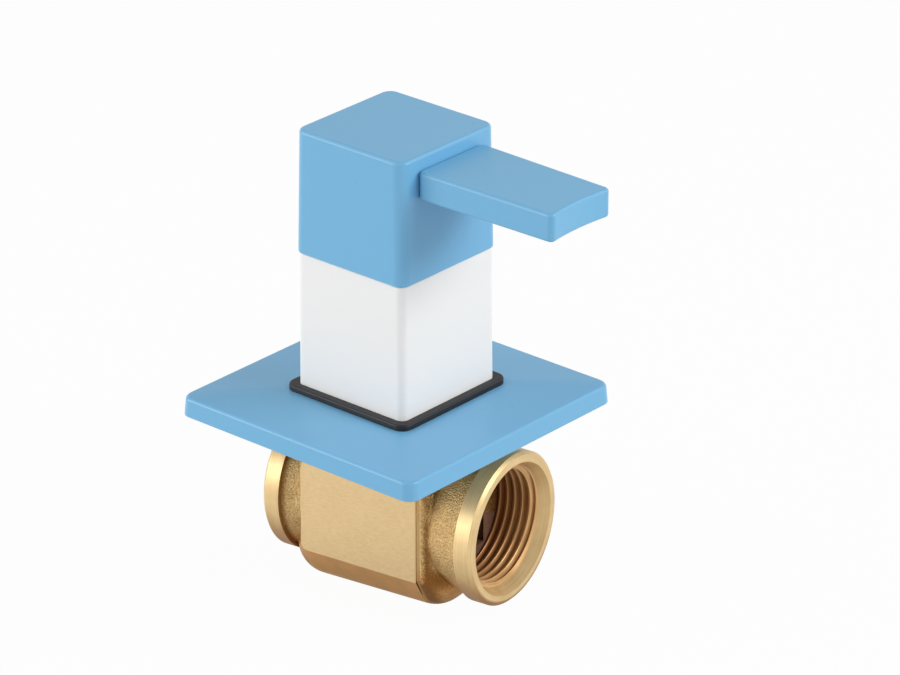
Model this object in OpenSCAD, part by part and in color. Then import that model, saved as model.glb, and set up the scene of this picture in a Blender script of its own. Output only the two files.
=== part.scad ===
// Concealed flush valve: a brass in-line body with two female pipe ends, a quarter-turn
// ceramic disc headwork, a square sleeve, a sliding wall plate and a square lever handle.
// Millimetres. X and Y run along the edges of the wall plate, the lever points along +X,
// and Z is the valve stem. The origin is where the stem crosses the finished wall plane.

/* [Pipe ends] */
// Major diameter of the parallel pipe thread
pipe_thread_d = 33.25; // [32.5:0.05:33.6]
// Pitch of the pipe thread
pipe_pitch = 2.309; // [2:0.001:2.4]
// Turns of thread that the inlet has room for
inlet_turns = 4; // [3:1:4]
// Turns of thread that the outlet has room for
outlet_turns = 5; // [4:1:5]
// Depth of the plain mouth in front of the thread
mouth_depth = 3; // [2.2:0.1:3.2]
// How much wider the mouth is at its lip, on the radius
mouth_flare = 1.4; // [0.4:0.1:1.6]
// Length of the cone that leads from the mouth into the tapped bore
lead_in = 1.2; // [0.8:0.1:1.6]
// Plain relief behind the thread
relief_len = 0.8; // [0.4:0.1:1]
// Outside diameter of the turned collars
collar_d = 41.6; // [39.5:0.1:42]
// Width of the turned collars
collar_w = 5.2; // [3.5:0.1:6]
// Chamfer on the outer edge of the collars
collar_chamfer = 0.8; // [0.2:0.1:1]

/* [Valve body] */
// Depth of the pipe axis behind the wall plane
pipe_depth = 25.4; // [25.2:0.1:32]
// Turn of the pipe axis against the edges of the wall plate, in degrees
body_turn = 7.6; // [0:0.1:15]
// Stem axis to the face of the inlet
inlet_len = 28.8; // [28.4:0.1:34]
// Stem axis to the face of the outlet
outlet_len = 36.4; // [35.5:0.1:42]
// Width across the brushed wrench flats
flats_w = 36.4; // [36:0.1:38]
// Stem axis to the inlet edge of the wrench flats
flats_inlet = 17.8; // [17:0.1:19]
// Stem axis to the outlet edge of the wrench flats
flats_outlet = 18.7; // [17.5:0.1:19.5]
// Lower edge of the wrench flats below the pipe axis
flats_drop = 12.4; // [11:0.1:14]
// Upper edge of the wrench flats above the pipe axis
flats_rise = 13; // [12:0.1:14]
// Lowest point of the cast belly below the pipe axis
belly_drop = 24; // [23.5:0.1:26]
// Radius of the rounded belly
belly_r = 9.5; // [8:0.1:10]
// Reach of the belly from the stem axis towards the inlet
belly_inlet = 24.4; // [22:0.1:25]
// Reach of the belly from the stem axis towards the outlet
belly_outlet = 28; // [26:0.1:29]
// Radius of the cast neck at the inlet, where it leaves the block
inlet_neck_r = 18.1; // [17.8:0.1:18.4]
// Radius of the cast neck at the outlet, where it leaves the block
outlet_neck_r = 15.9; // [15:0.1:16.4]
// How far the collars stand proud of the necks
neck_step = 0.9; // [0.5:0.1:1.4]
// Diameter of the headwork boss
boss_d = 30; // [29:0.1:31]
// Top of the boss below the wall plane
boss_drop = 6.5; // [6:0.1:7.5]
// Diameter of the thread that the headwork screws into
boss_thread_d = 24.2; // [24:0.1:25]
// Diameter of the water way through the seat
seat_d = 14; // [10:0.5:14.5]
// Seat face below the pipe axis
seat_drop = 5; // [4:0.1:5.5]
// Thickness of the wall under the seat
seat_wall = 4.5; // [3:0.1:4.8]
// Floor of the inlet chamber below the pipe axis
chamber_drop = 20; // [17:0.1:20.5]
// Width of the inlet chamber
inlet_chamber_w = 19; // [16:0.5:20]
// Width of the outlet chamber
outlet_chamber_w = 21; // [18:0.5:23]

/* [Headwork] */
// Diameter of the lower tube that holds the discs
tube_d = 22; // [21.6:0.1:22.6]
// Bore of the lower tube
tube_bore_d = 18.2; // [17:0.1:18.6]
// Thickness of the rubber ring on the seat
seat_seal_h = 1.5; // [1:0.1:2]
// Thickness of each ceramic disc
disc_t = 3.2; // [3:0.1:3.6]
// Height of the spindle's driving foot
driver_h = 4; // [3.6:0.1:4.6]
// Thickness of the slip washer on the foot
slip_washer_t = 0.8; // [0.5:0.1:1.2]
// Thickness of the sealing ring under the hexagon
head_seal_h = 1; // [0.8:0.1:1.5]
// Width across the flats of the hexagon
hex_af = 26; // [25:0.1:26.5]
// Height of the hexagon
hex_h = 6; // [5:0.1:6.2]
// Diameter of the thread that carries the sleeve
carrier_thread_d = 22; // [21:0.1:22.5]
// Height of the carrier thread above the hexagon
carrier_thread_h = 9.5; // [9:0.1:11]
// Diameter of the spindle in its bearing
spindle_d = 10; // [9.6:0.1:10.2]
// Diameter of the splined end of the spindle
spline_d = 9; // [8.6:0.1:9.2]
// Length of the splined end of the spindle
spline_len = 11; // [9:0.5:13]
// Thickness of the stop ring
stop_t = 1.4; // [1.2:0.1:1.8]
// Thickness of the retaining clip
clip_t = 0.8; // [0.6:0.1:1]
// Travel between open and closed, in degrees
travel = 90; // [80:1:95]

/* [Stem extension] */
// Outside diameter of the extension tube
extension_d = 13; // [12.4:0.1:13.4]
// Shank diameter of the screw that ties it to the spindle
tie_screw_d = 4; // [3:0.5:4.5]

/* [Sleeve] */
// How far the foot of the sleeve stands in from the foot of the handle block
sleeve_inset = 0.3; // [0.1:0.05:0.5]
// How far each side of the sleeve leans in towards its top
sleeve_lean = 0.3; // [0.1:0.05:0.5]
// Corner radius of the sleeve
sleeve_corner = 2.2; // [1.5:0.1:3]
// Wall of the sleeve at its top
sleeve_wall = 2.1; // [1.9:0.1:2.5]
// Foot of the sleeve above the hexagon of the headwork
sleeve_foot_gap = 0.3; // [0.2:0.1:0.8]
// Thickness of the web across the top of the sleeve
sleeve_web = 2.6; // [2:0.1:3.5]
// Diameter of the two sleeve screws
sleeve_screw_d = 4; // [3:0.5:5]
// Outside diameter of the guide bush in the web
bush_d = 18; // [17:0.1:20]

/* [Wall plate] */
// Width of the wall plate at its back
plate_w = 80.2; // [70:0.1:95]
// Height of the edge of the plate
plate_edge_h = 5.3; // [4.6:0.1:7]
// Rise of the plate from its edge to the gasket seat
plate_crown = 1.2; // [0.6:0.1:2]
// How far each side of the plate leans in
plate_lean = 0.35; // [0.1:0.05:0.8]
// Corner radius of the plate
plate_corner = 3.3; // [2:0.1:6]
// Wall thickness of the plate
plate_wall = 2.2; // [1.8:0.1:3]
// Height of the rubber gasket
gasket_h = 1.65; // [1.2:0.05:2.5]
// Width of the rubber gasket outside the sleeve
gasket_w = 2.2; // [1.6:0.1:4]

/* [Handle] */
// Height of the wall plane to the underside of the handle
handle_z = 45.5; // [40:0.1:50]
// Width of the handle block at its foot
handle_w = 37.4; // [37.2:0.1:39]
// Width of the handle block at its top
handle_top_w = 36.4; // [35.6:0.1:37]
// Height of the handle block
handle_h = 34; // [32:0.1:38]
// Corner radius of the handle block
handle_corner = 3.2; // [2:0.1:4]
// Radius of the top edges of the handle block
handle_edge = 1; // [0.6:0.1:2]
// Wall thickness of the handle block
handle_wall = 2.6; // [2:0.1:3]
// Outside diameter of the hub inside the handle block
hub_d = 21; // [20:0.1:22]
// Outside diameter of the brass insert in the hub
insert_d = 17; // [16:0.1:17.4]
// Height of the brass insert
insert_h = 14; // [12:0.5:14]
// Diameter of the grub screw
grub_d = 5; // [4:0.5:6]

/* [Lever] */
// Length of the lever from the stem axis to its tip
lever_reach = 61.8; // [50:0.1:75]
// Width of the lever at the block
lever_w = 25; // [22:0.1:28]
// Width of the lever at its tip
lever_tip_w = 23; // [18:0.1:26]
// Thickness of the lever
lever_t = 7.8; // [7:0.1:9.5]
// Top of the block down to the top of the lever
lever_drop = 3.6; // [3:0.1:6]
// Depth of the hollow curve in the tip
tip_hollow = 0.9; // [0.3:0.1:1.5]
// Radius of the long edges of the lever
lever_edge = 0.9; // [0.5:0.1:1.5]
// Distance between the two lever screws
lever_screw_pitch = 15; // [13.5:0.1:16]
// Diameter of the lever screws
lever_screw_d = 3.5; // [3:0.5:4]

/* [Clearances] */
// Running clearance of a shaft in its bore, on the radius
run = 0.05; // [0.03:0.01:0.08]
// Clearance of a part that is screwed or slipped into place
slip = 0.05; // [0.02:0.01:0.1]
// Gap between the sleeve and the handle block
handle_gap = 0.25; // [0.2:0.05:0.3]
// Gap between the wall plate and the sleeve
plate_gap = 0.28; // [0.2:0.01:0.3]
// Gap between the lapped faces of the two discs
lap = 0.02; // [0.01:0.01:0.03]

/* [Hidden] */
$fn = 96;
// Overlap of a cut past the face that it opens
cut = 1;
hull_fn = 28;
brass = "#d2b07a";
blue = "#7fb6db";

// Levels along the stem, upwards from the seat
seat_z = -pipe_depth - seat_drop;
tube_foot_z = seat_z + seat_seal_h;
moving_disc_z = tube_foot_z + disc_t + lap;
driver_z = moving_disc_z + disc_t;
driver_top_z = driver_z + driver_h;
bearing_z = driver_top_z + slip_washer_t + run;
boss_z = -boss_drop;
hex_z = boss_z + head_seal_h;
carrier_z = hex_z + hex_h;
head_top_z = carrier_z + carrier_thread_h;
stop_z = head_top_z + run;
clip_z = stop_z + stop_t + run;
spline_z = clip_z + clip_t;
spindle_top_z = spline_z + spline_len;
extension_z = spline_z + 0.3;
sleeve_top_z = handle_z - handle_gap;
web_z = sleeve_top_z - sleeve_web;
handle_top_z = handle_z + handle_h;
plate_top_z = plate_edge_h + plate_crown;

// The sleeve lines up with the handle block, and its foot stands on the headwork
sleeve_w = handle_w - 2 * sleeve_inset;
sleeve_top_w = sleeve_w - 2 * sleeve_lean;
sleeve_bore_w = sleeve_top_w - 2 * sleeve_wall;
sleeve_foot_z = carrier_z + sleeve_foot_gap;

// Ceramic discs and the foot that drives them
disc_d = tube_bore_d - 2 * run;
port_angle = 40;
port_out_r = disc_d / 2 - 1.6;
port_in_r = 2.4;
slot_w = 4.2;
slot_depth = 1.6;
shaft_bore_r = spindle_d / 2 + run;
flat_inset = 0.7;

// The two O-rings lie this far below and above the top of the boss
o_ring_shift = 3;
o_ring_groove_depth = 1.5;

// The stops at the ends of the quarter turn, the first two in degrees
lug_half = 14;
stop_play = 1;
stop_r = 8;
stop_lug_r = 9.8;

// The screw that ties the extension to the spindle
tie_web_z = spindle_top_z + 0.4;
tie_web_t = 3.2;
tie_head_d = 7.2;
tie_head_h = 2.6;
tie_depth = 9;

// The handle's splined insert
insert_z = handle_z + 3.5;
extension_top_z = insert_z + insert_h - 1;
grub_z = insert_z + insert_h / 2;
grub_seat_r = extension_d / 2 - 1.1;
grub_len = 4.6;
cavity_half = min(handle_w, handle_top_w) / 2 - handle_wall;
roof_z = handle_top_z - handle_wall - 0.6;
plug_t = 1.6;

// The lever and how it is held
lever_top_z = handle_top_z - lever_drop;
lever_mid_z = lever_top_z - lever_t / 2;
block_lean = (handle_w - handle_top_w) / 2 / handle_h;
lever_root_x = handle_w / 2 - block_lean * (lever_top_z - lever_t - handle_z) + 0.02;
lever_corner = 1.6;
peg_r = 3.4;
// The pegs stop short of the washers, so that the screws pull the lever home
peg_len = lever_root_x - cavity_half - 0.4;
lever_screw_len = 9;
lever_screw_spare = 2;
lever_head_h = 2.2;
lever_head_d = 6.5;
lever_slot = [3, 0.7, 2.4];
lever_washer_t = 0.8;
lever_washer_d = 7.4;

// The square nut that carries the sleeve
carrier_w = sleeve_bore_w - 2 * slip;
sleeve_screw_z = 4.2;
sleeve_screw_sink = 0.6;
sleeve_screw_len = sleeve_w / 2 - sleeve_screw_sink - carrier_thread_d / 2 - 1.8;
bush_flange_d = bush_d + 4;
bush_flange_t = 1.4;

// Pipe ends: the bore is tapped at the radius of the thread's crests
thread_depth = 0.64 * pipe_pitch;
tapped_r = pipe_thread_d / 2 - thread_depth;
inlet_bore_len = mouth_depth + inlet_turns * pipe_pitch + relief_len;
outlet_bore_len = mouth_depth + outlet_turns * pipe_pitch + relief_len;

// How the necks meet the block, and the wall that the casting keeps round the inlet thread inside it
inlet_neck_bend = 1.7;
outlet_neck_bend = 0.45;
inlet_neck_sink = 0.6;
outlet_neck_sink = -0.4;
thread_wall = 0.8;
thread_wall_len = 4.4;
core_step = 2;
boss_fillet = 3;

// Cored chambers
chamber_corner = 3;
chamber_reach = 2.5;
inlet_chamber_lap = 3.4;
outlet_step_x = 5.5;
outlet_step_drop = 6.5;
ceiling = flats_rise - 1.5;
under_seat = -seat_drop - seat_wall;

// Cross-section helpers
module square_corners(half, r) {
    for (x = [-1, 1], y = [-1, 1])
        translate([x * (half - r), y * (half - r)]) circle(r);
}

module rounded_square(half, r) {
    square([2 * half, 2 * (half - r)], center = true);
    square([2 * (half - r), 2 * half], center = true);
    square_corners(half, r);
}

// The rounded end of a post: a stack of cones that starts at the origin and rises by the edge radius
module rounded_end(r, edge) {
    for (a = [0 : 30 : 60])
        translate([0, 0, edge * sin(a)])
            cylinder(r1 = r - edge * (1 - cos(a)), r2 = r - edge * (1 - cos(a + 30)),
                     h = edge * (sin(a + 30) - sin(a)), $fn = hull_fn);
}

// A square block that narrows upwards and has rounded corners and top edges
module leaning_block(foot_half, top_half, h, corner, edge) {
    foot_land = 0.5;
    hull() for (x = [-1, 1], y = [-1, 1]) {
        translate([x * (foot_half - corner), y * (foot_half - corner), 0])
            cylinder(r = corner, h = foot_land, $fn = hull_fn);
        translate([x * (top_half - corner), y * (top_half - corner), h - edge])
            rounded_end(corner, edge);
    }
}

// Points of a splined shaft or bore with triangular teeth
function spline_points(tip_r, root_r, teeth) =
    [for (i = [0 : 2 * teeth - 1]) let (a = i * 180 / teeth, r = i % 2 == 0 ? tip_r : root_r)
        [r * cos(a), r * sin(a)]];

module ring(outer_r, inner_r, h) {
    difference() {
        cylinder(r = outer_r, h = h);
        translate([0, 0, -cut]) cylinder(r = inner_r, h = h + 2 * cut);
    }
}

module o_ring(mid_r, section_r, z)
    translate([0, 0, z]) rotate_extrude() translate([mid_r, 0]) circle(section_r, $fn = 24);

// Turns a child that is drawn along Z to lie along the pipe axis
module along_pipe(x = 0)
    translate([x, 0, 0]) rotate([0, 90, 0]) children();

// Valve body

// Radius and axial place of points on a neck that flares up to its collar on a curve
function neck_points(r_block, x_block, x_collar, bend) =
    let (rise = collar_d / 2 - neck_step - r_block)
    [for (t = [0 : 0.125 : 1]) [r_block + rise * pow(t, bend), x_block + (x_collar - x_block) * t]];

module pipe_turning() {
    r = collar_d / 2;
    c = collar_chamfer;
    inlet_neck = neck_points(inlet_neck_r, -flats_inlet - inlet_neck_sink, -inlet_len + collar_w,
                             inlet_neck_bend);
    outlet_neck = neck_points(outlet_neck_r, flats_outlet + outlet_neck_sink, outlet_len - collar_w,
                              outlet_neck_bend);
    thread_wall_r = pipe_thread_d / 2 + thread_wall;
    thread_wall_x = -flats_inlet + inlet_neck_sink;
    core_r = outlet_neck_r - core_step;
    along_pipe() rotate_extrude() polygon(concat(
        [[0, -inlet_len], [r - c, -inlet_len], [r, -inlet_len + c], [r, -inlet_len + collar_w]],
        [for (i = [len(inlet_neck) - 1 : -1 : 0]) inlet_neck[i]],
        [[thread_wall_r, thread_wall_x], [thread_wall_r, -flats_inlet + thread_wall_len - inlet_neck_sink],
         [core_r, -flats_inlet + thread_wall_len + inlet_neck_sink], [core_r, flats_outlet - core_step]],
        outlet_neck,
        [[r, outlet_len - collar_w], [r, outlet_len - c], [r - c, outlet_len], [0, outlet_len]]));
}

// The block with its wrench flats and the round belly under it
module casting_block() {
    edge_r = 2;
    shoulder_r = 4;
    // The shoulders lie a little inside the flats and the ends of the block
    shoulder_in = shoulder_r + 0.5;
    belly_half = flats_w / 2 - belly_r - 2;
    hull() {
        for (x = [edge_r - flats_inlet, flats_outlet - edge_r],
             z = [edge_r - flats_drop, flats_rise - edge_r])
            translate([x, 0, z]) rotate([90, 0, 0])
                cylinder(r = edge_r, h = flats_w, center = true, $fn = hull_fn);
        for (x = [shoulder_in - flats_inlet, flats_outlet - shoulder_in], y = [-1, 1])
            translate([x, y * (flats_w / 2 - shoulder_in), flats_rise + 3 - shoulder_r])
                sphere(shoulder_r, $fn = hull_fn);
        for (x = [belly_r - belly_inlet, belly_outlet - belly_r], y = [-1, 1])
            translate([x, y * belly_half, belly_r - belly_drop]) sphere(belly_r, $fn = hull_fn);
    }
}

// Pipe end, cut from its mouth at the origin towards +Z: a coned mouth, a bore at the thread's
// crests, and a plain relief as deep as the thread
module pipe_end_cut(length) {
    r = pipe_thread_d / 2;
    thread_end = length - relief_len;
    rotate_extrude() polygon([
        [0, -cut], [r + mouth_flare, -cut], [r + mouth_flare, 0], [r, mouth_depth],
        [tapped_r, mouth_depth + lead_in], [tapped_r, thread_end], [r, thread_end], [r, length],
        [0, length]]);
}

module valve_body() {
    inlet_core_x = -inlet_len + inlet_bore_len - inlet_chamber_lap;
    outlet_core_x = outlet_len - outlet_bore_len + cut;
    step_x = seat_d / 2 + outlet_step_x;
    color(brass)
    translate([0, 0, -pipe_depth]) rotate([0, 0, body_turn]) difference() {
        union() {
            pipe_turning();
            casting_block();
            cylinder(d = boss_d, h = pipe_depth - boss_drop);
            translate([0, 0, flats_rise + boss_fillet / 3])
                cylinder(d1 = boss_d + boss_fillet, d2 = boss_d, h = boss_fillet);
        }
        along_pipe(-inlet_len) pipe_end_cut(inlet_bore_len);
        translate([outlet_len, 0, 0]) rotate([0, -90, 0]) pipe_end_cut(outlet_bore_len);
        // Inlet chamber: under the seat, reached through the floor of the inlet bore
        translate([inlet_core_x, 0, -chamber_drop])
            linear_extrude(chamber_drop + under_seat)
                chamber_plan(seat_d / 2 + chamber_reach - inlet_core_x, inlet_chamber_w, chamber_corner);
        // Outlet chamber: over the seat, with a deeper floor at the outlet
        translate([0, 0, -seat_drop])
            linear_extrude(seat_drop + ceiling)
                chamber_plan(outlet_core_x, outlet_chamber_w, chamber_corner);
        translate([step_x, 0, -seat_drop - outlet_step_drop])
            linear_extrude(seat_drop + outlet_step_drop + ceiling)
                chamber_plan(outlet_core_x - step_x, outlet_chamber_w, chamber_corner);
        translate([0, 0, under_seat - cut]) cylinder(d = seat_d, h = seat_wall + 2 * cut);
        translate([0, 0, -seat_drop]) cylinder(d = boss_thread_d, h = pipe_depth + cut);
    }
}

// Plan of a cored chamber that starts at the origin and runs along X
module chamber_plan(length, width, corner) {
    translate([corner, -width / 2]) square([length - corner, width]);
    translate([0, -width / 2 + corner]) square([length, width - 2 * corner]);
    for (y = [-1, 1])
        translate([corner, y * (width / 2 - corner)]) circle(corner);
}

// Headwork

module seat_seal() {
    color("#2b2e33") translate([0, 0, seat_z])
        ring(tube_d / 2 - 0.4, seat_d / 2 + 0.2, seat_seal_h);
}

module headwork_seal() {
    color("#2b2e33") translate([0, 0, boss_z])
        ring(boss_d / 2 - 0.6, boss_thread_d / 2 + 0.1, head_seal_h);
}

module headwork_body() {
    window_h = driver_h - 0.4;
    tube_len = bearing_z - tube_foot_z;
    // The screw thread ends just above the ceiling of the outlet chamber
    screw_foot_z = -pipe_depth + ceiling + 0.2;
    stop_sweep = travel + 2 * (lug_half + stop_play);
    color("#cfae72") difference() {
        union() {
            translate([0, 0, tube_foot_z]) cylinder(d = tube_d, h = hex_z - tube_foot_z);
            translate([0, 0, screw_foot_z])
                cylinder(d = boss_thread_d - 2 * slip, h = hex_z - 1 - screw_foot_z);
            intersection() {
                translate([0, 0, hex_z])
                    cylinder(r = hex_af / 2 / cos(30), h = hex_h, $fn = 6);
                translate([0, 0, hex_z])
                    cylinder(r1 = hex_af / 2, r2 = hex_af / 2 + 2 * hex_h, h = hex_h);
            }
            translate([0, 0, carrier_z]) cylinder(d = carrier_thread_d, h = carrier_thread_h);
            stop_wall(stop_sweep);
        }
        translate([0, 0, tube_foot_z - cut]) cylinder(d = tube_bore_d, h = tube_len + cut);
        translate([0, 0, bearing_z - cut])
            cylinder(r = shaft_bore_r, h = head_top_z - bearing_z + 2 * cut);
        translate([0, 0, driver_z + window_h / 2 + 0.2])
            cube([tube_d + 2 * cut, 10, window_h], center = true);
    }
}

// Raised wall on the headwork that stops the lug at both ends of the travel
module stop_wall(sweep) {
    wall_h = stop_t + 0.4;
    start = -travel - lug_half - stop_play;
    difference() {
        translate([0, 0, head_top_z]) ring(carrier_thread_d / 2 - 0.6, stop_r, wall_h);
        rotate([0, 0, start]) rotate([0, 0, sweep / 2]) translate([0, 0, head_top_z])
            linear_extrude(wall_h + cut) wedge(sweep / 2, carrier_thread_d);
    }
}

// A wedge about +X of the given half angle, which may pass a right angle
module wedge(half_angle, reach) {
    steps = 4;
    polygon(concat([[0, 0]], [for (i = [-steps : steps])
        let (a = i * half_angle / steps) [reach * cos(a), reach * sin(a)]]));
}

module disc_ports(h) {
    for (turn = [0, 180])
        rotate([0, 0, turn]) translate([0, 0, -cut]) linear_extrude(h + 2 * cut)
            intersection() {
                difference() {
                    circle(port_out_r);
                    circle(port_in_r);
                }
                wedge(port_angle, disc_d);
            }
}

module fixed_disc() {
    color("#f2efe6") translate([0, 0, tube_foot_z]) difference() {
        cylinder(d = disc_d, h = disc_t);
        disc_ports(disc_t);
    }
}

module moving_disc() {
    color("#e8e4d8") translate([0, 0, moving_disc_z]) difference() {
        cylinder(d = disc_d, h = disc_t);
        disc_ports(disc_t);
        translate([0, 0, disc_t - slot_depth / 2 + cut / 2])
            cube([slot_w, disc_d + 2 * cut, slot_depth + cut], center = true);
    }
}

module spindle() {
    foot_r = 6;
    flange_t = 1.2;
    groove_r = spindle_d / 2 - o_ring_groove_depth;
    groove_w = 1.8;
    clip_groove_r = spline_d / 2 - 0.9;
    color("#c9a667") difference() {
        union() {
            translate([0, 0, driver_z]) cylinder(r = foot_r, h = driver_h);
            translate([0, 0, driver_top_z - flange_t])
                cylinder(d = tube_bore_d - 0.6, h = flange_t);
            translate([0, 0, driver_z - slot_depth / 2 + 0.55])
                cube([slot_w - 0.2, disc_d - 1.2, slot_depth + 0.9], center = true);
            translate([0, 0, driver_top_z - cut])
                cylinder(d = spindle_d, h = head_top_z - driver_top_z + cut);
            translate([0, 0, head_top_z - cut])
                cylinder(r = clip_groove_r, h = spindle_top_z - head_top_z + cut);
            translate([0, 0, head_top_z - cut]) linear_extrude(clip_z - head_top_z + cut)
                flatted_circle(spline_d / 2);
            translate([0, 0, spline_z]) linear_extrude(spline_len)
                polygon(spline_points(spline_d / 2, spline_d / 2 - 0.6, 18));
        }
        for (z = o_ring_levels())
            translate([0, 0, z - groove_w / 2]) ring(spindle_d, groove_r, groove_w);
        translate([0, 0, spindle_top_z - tie_depth])
            cylinder(d = tie_screw_d + 2 * slip, h = tie_depth + cut);
    }
}

// A circle with two flats, which keeps the stop ring from turning on the spindle
module flatted_circle(r) {
    intersection() {
        circle(r);
        square([2 * (r - flat_inset), 2 * r], center = true);
    }
}

function o_ring_levels() = [boss_z - o_ring_shift, boss_z + o_ring_shift];

module spindle_o_rings() {
    section_r = 0.72;
    color("#1f2126") for (z = o_ring_levels())
        o_ring(spindle_d / 2 - o_ring_groove_depth + section_r + 0.02, section_r, z);
}

module slip_washer() {
    color("#f4f4f0") translate([0, 0, driver_top_z])
        ring(tube_bore_d / 2 - 0.3, spindle_d / 2 + run, slip_washer_t);
}

module stop_ring() {
    color("#c4c6c8") translate([0, 0, stop_z]) linear_extrude(stop_t) difference() {
        union() {
            circle(stop_r - 0.4);
            intersection() {
                circle(stop_lug_r);
                wedge(lug_half, 2 * stop_lug_r);
            }
        }
        flatted_circle(spline_d / 2 + slip);
    }
}

module retaining_clip() {
    inner = spline_d / 2 - 0.9 + slip;
    color("#8f9296") translate([0, 0, clip_z]) linear_extrude(clip_t) difference() {
        circle(spline_d / 2 + 1.6);
        circle(inner);
        translate([0, -inner * 0.7]) square([spline_d, inner * 1.4]);
    }
}

// Stem extension

module stem_extension() {
    socket_r = spline_d / 2 + slip;
    inner_d = tie_head_d + 0.8;
    color("#cdaa6c") difference() {
        union() {
            translate([0, 0, extension_z]) cylinder(d = extension_d, h = insert_z - 1 - extension_z);
            translate([0, 0, insert_z - 1 - cut]) linear_extrude(extension_top_z - insert_z + 1 + cut)
                polygon(spline_points(extension_d / 2 - 0.3, extension_d / 2 - 0.9, 20));
        }
        translate([0, 0, extension_z - cut]) linear_extrude(tie_web_z - extension_z + cut)
            polygon(spline_points(socket_r, socket_r - 0.6, 18));
        translate([0, 0, tie_web_z - cut]) cylinder(d = tie_screw_d + 0.3, h = tie_web_t + 2 * cut);
        translate([0, 0, tie_web_z + tie_web_t])
            cylinder(d = inner_d, h = extension_top_z - tie_web_z);
        translate([0, 0, grub_z - grub_d / 2 - 0.3]) ring(extension_d, grub_seat_r, grub_d + 0.6);
    }
}

module extension_screw() {
    head_z = tie_web_z + tie_web_t;
    color("#b9bcc0") difference() {
        union() {
            translate([0, 0, head_z]) cylinder(d = tie_head_d, h = tie_head_h);
            translate([0, 0, spindle_top_z - tie_depth + 1])
                cylinder(d = tie_screw_d, h = head_z - spindle_top_z + tie_depth - 1 + 0.5);
        }
        translate([0, 0, head_z + 1]) cylinder(d = 3, h = tie_head_h, $fn = 6);
    }
}

// Sleeve and what holds it

module sleeve_carrier() {
    color("#3a3d42") translate([0, 0, carrier_z]) difference() {
        linear_extrude(carrier_thread_h - 0.5) rounded_square(carrier_w / 2, 1.6);
        translate([0, 0, -cut])
            cylinder(d = carrier_thread_d + 2 * slip, h = carrier_thread_h + 2 * cut);
        for (side = [-1, 1])
            translate([0, side * carrier_w / 2, sleeve_screw_z - carrier_z]) rotate([90, 0, 0])
                cylinder(d = sleeve_screw_d + 2 * slip, h = carrier_w / 2, center = true, $fn = 48);
    }
}

module sleeve() {
    full_h = sleeve_top_z - sleeve_foot_z;
    color("#f1f2f3") difference() {
        translate([0, 0, sleeve_foot_z])
            leaning_block(sleeve_w / 2, sleeve_top_w / 2, full_h, sleeve_corner, 0.4);
        translate([0, 0, sleeve_foot_z - cut])
            linear_extrude(full_h - sleeve_web + cut) rounded_square(sleeve_bore_w / 2, 1.2);
        translate([0, 0, web_z - cut]) cylinder(d = bush_d + 2 * slip, h = sleeve_web + 2 * cut);
        for (side = [-1, 1])
            translate([0, side * sleeve_w / 2, sleeve_screw_z]) rotate([90, 0, 0])
                cylinder(d = sleeve_screw_d + 0.3, h = sleeve_w / 4, center = true, $fn = 48);
    }
}

module sleeve_screws() {
    start = sleeve_w / 2 - sleeve_screw_sink - sleeve_screw_len;
    color("#9a9ea3") for (side = [-1, 1])
        rotate([0, 0, side * 90]) translate([start, 0, sleeve_screw_z])
            rotate([0, 90, 0]) difference() {
                cylinder(d = sleeve_screw_d, h = sleeve_screw_len, $fn = 48);
                translate([0, 0, sleeve_screw_len / 2])
                    cylinder(d = sleeve_screw_d / 2, h = sleeve_screw_len, $fn = 6);
            }
}

module guide_bush() {
    color("#fafafa") difference() {
        union() {
            translate([0, 0, web_z - bush_flange_t]) cylinder(d = bush_flange_d, h = bush_flange_t);
            translate([0, 0, web_z - 0.2]) cylinder(d = bush_d, h = sleeve_web + 0.2);
        }
        translate([0, 0, web_z - bush_flange_t - cut])
            cylinder(r = extension_d / 2 + run, h = sleeve_web + bush_flange_t + 2 * cut);
    }
}

// Wall plate

module wall_plate() {
    half = plate_w / 2;
    hole_half = sleeve_w / 2 + plate_gap;
    seat_half = hole_half + gasket_w + 1;
    hub_half = hole_half + plate_wall;
    color(blue) difference() {
        union() {
            leaning_block(half, half - plate_lean, plate_edge_h, plate_corner, 0.9);
            hull() {
                translate([0, 0, plate_edge_h - 0.2])
                    linear_extrude(0.1) square_corners(half - plate_lean - 1.2, plate_corner, $fn = hull_fn);
                translate([0, 0, plate_top_z - 0.1])
                    linear_extrude(0.1) square_corners(seat_half, plate_corner, $fn = hull_fn);
            }
        }
        translate([0, 0, -cut]) linear_extrude(plate_edge_h - plate_wall + cut) difference() {
            rounded_square(half - plate_lean - plate_wall, plate_corner - 1);
            rounded_square(hub_half, sleeve_corner + 1);
        }
        translate([0, 0, -cut]) linear_extrude(plate_top_z + 2 * cut)
            rounded_square(hole_half, sleeve_corner);
    }
}

module gasket() {
    half = sleeve_w / 2 + 0.1;
    color("#30343c") translate([0, 0, plate_top_z]) linear_extrude(gasket_h) difference() {
        rounded_square(half + gasket_w, sleeve_corner + 1);
        rounded_square(half, sleeve_corner);
    }
}

// Handle

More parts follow.
